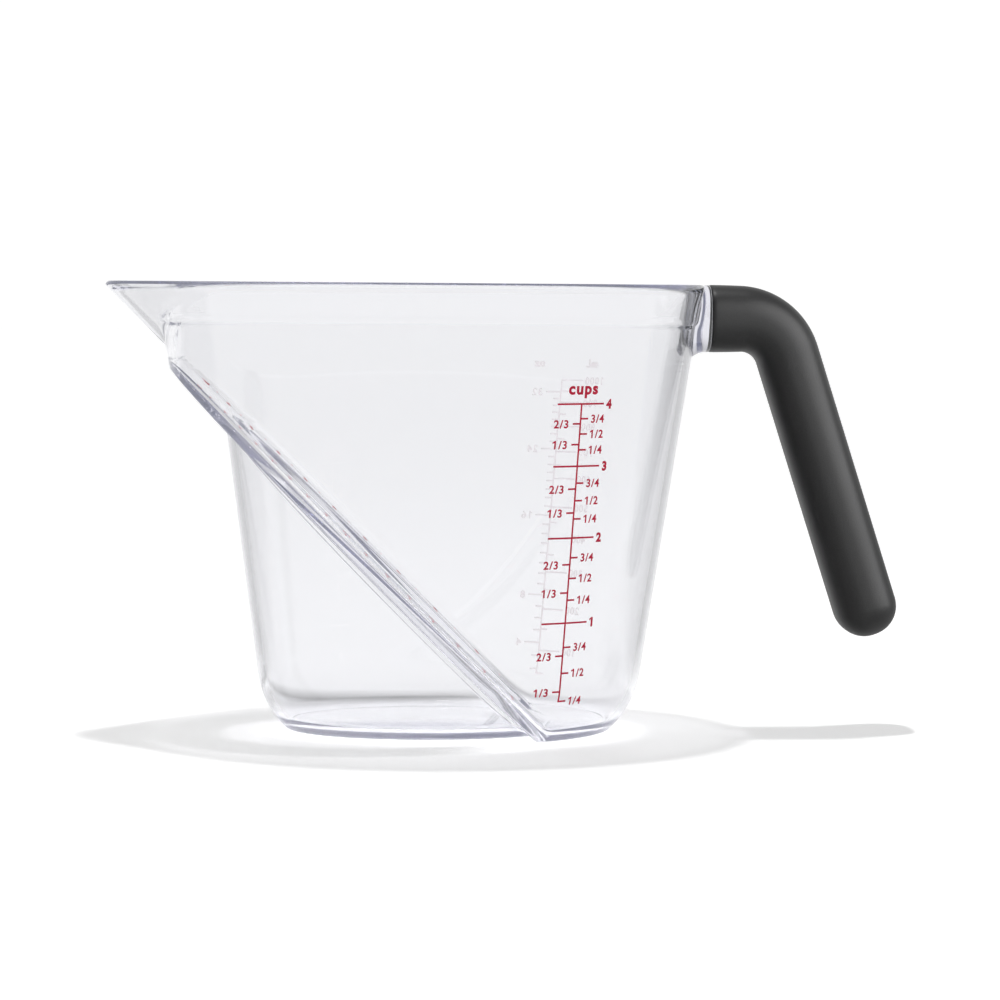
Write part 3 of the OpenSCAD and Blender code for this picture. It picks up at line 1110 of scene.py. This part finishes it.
# Painted shade: how far the flat sheet darkens the band seen at the base's far edge
base_sheet_painted_shade = 0.47
base_gel_left = -0.12
base_gel_right = 0.05
base_gel_fade = 0.04
base_gel_front = 0.036
base_gel_middle = 0.049
base_gel_back = 0.075
base_gel_corners = ((base_gel_left, base_gel_front, 0), (base_gel_right, base_gel_front, 0),
                    (base_gel_right, base_gel_back, 0), (base_gel_left, base_gel_back, 0))
base_gel_fades = (("Y", base_gel_front, base_gel_middle), ("Y", base_gel_back, base_gel_middle),
                  ("X", base_gel_right, base_gel_right - base_gel_fade))
gel("base_shade_sheet", base_gel_corners, ((0, 1, 2, 3),), base_gel_fades, base_sheet_painted_shade)

# Room: its light from front to back and towards overhead, and the white that the camera sees past the table
room_back = 1.06
room_front = 0.62
room_over = 0.6
room_sweep = (-0.1, 0.8)
room_climb = (0.2, 0.75)
backdrop_white = 1.04


def white_room():
    room = bpy.data.worlds.new("room")
    room.use_nodes = True
    tree = room.node_tree
    tree.nodes.clear()
    place = add_node(tree, "ShaderNodeTexCoord")
    facing = add_node(tree, "ShaderNodeVectorMath", operation="DOT_PRODUCT")
    facing.inputs[1].default_value = (0, 1, 0)
    sweep = carried(tree, *room_sweep, room_front, room_back, interpolation_type="SMOOTHSTEP")
    split = add_node(tree, "ShaderNodeSeparateXYZ")
    climb = carried(tree, *room_climb, 1, room_over, interpolation_type="SMOOTHSTEP")
    dimmed = add_node(tree, "ShaderNodeMath", operation="MULTIPLY")
    path = add_node(tree, "ShaderNodeLightPath")
    backdrop = add_node(tree, "ShaderNodeMix", B=backdrop_white)
    background = add_node(tree, "ShaderNodeBackground", Color=(1, 1, 1, 1))
    output = add_node(tree, "ShaderNodeOutputWorld")
    tree.links.new(place.outputs["Generated"], facing.inputs[0])
    tree.links.new(facing.outputs["Value"], sweep.inputs["Value"])
    tree.links.new(place.outputs["Generated"], split.inputs["Vector"])
    tree.links.new(split.outputs["Z"], climb.inputs["Value"])
    tree.links.new(sweep.outputs["Result"], dimmed.inputs[0])
    tree.links.new(climb.outputs["Result"], dimmed.inputs[1])
    tree.links.new(path.outputs["Is Camera Ray"], backdrop.inputs["Factor"])
    tree.links.new(dimmed.outputs[0], backdrop.inputs["A"])
    tree.links.new(backdrop.outputs["Result"], background.inputs["Strength"])
    tree.links.new(background.outputs["Background"], output.inputs["Surface"])
    return room


bpy.context.scene.world = white_room()

# Camera: level with the rim, a little to the right of the bowl's axis, tipped down and barely rolled
camera_turn = math.radians(-3.3)
camera_away = 0.940
camera_aside = 0.02219
camera_pitch = math.radians(4.142)
camera_roll = math.radians(0.43)
SENSOR = 36.0
FRAME_PX = 1000
FOCAL_PX = 2992.4
BOUNCES = 64


def rim_level_camera():
    right = Vector((math.cos(camera_turn), math.sin(camera_turn), 0))
    level = Vector((-math.sin(camera_turn), math.cos(camera_turn), 0))
    ahead = level * math.cos(camera_pitch) - Vector((0, 0, 1)) * math.sin(camera_pitch)
    over = right.cross(ahead)
    tilted_right = right * math.cos(camera_roll) + over * math.sin(camera_roll)
    tilted_over = tilted_right.cross(ahead)
    eye = right * camera_aside + Vector((0, 0, height * MM)) - level * camera_away
    lens = bpy.data.cameras.new("camera")
    lens.sensor_width = SENSOR
    lens.lens = FOCAL_PX / FRAME_PX * SENSOR
    lens.clip_start = 0.01
    camera = bpy.data.objects.new("camera", lens)
    bpy.context.scene.collection.objects.link(camera)
    turned = Matrix((tilted_right, tilted_over, -ahead)).transposed().to_4x4()
    camera.matrix_world = Matrix.Translation(eye) @ turned
    return camera


scene = bpy.context.scene
scene.camera = rim_level_camera()
# Plain colours, and enough bounces for light to cross every wall of the clear cup
scene.view_settings.view_transform = "Standard"
scene.cycles.max_bounces = BOUNCES
scene.cycles.transmission_bounces = BOUNCES
scene.cycles.glossy_bounces = BOUNCES
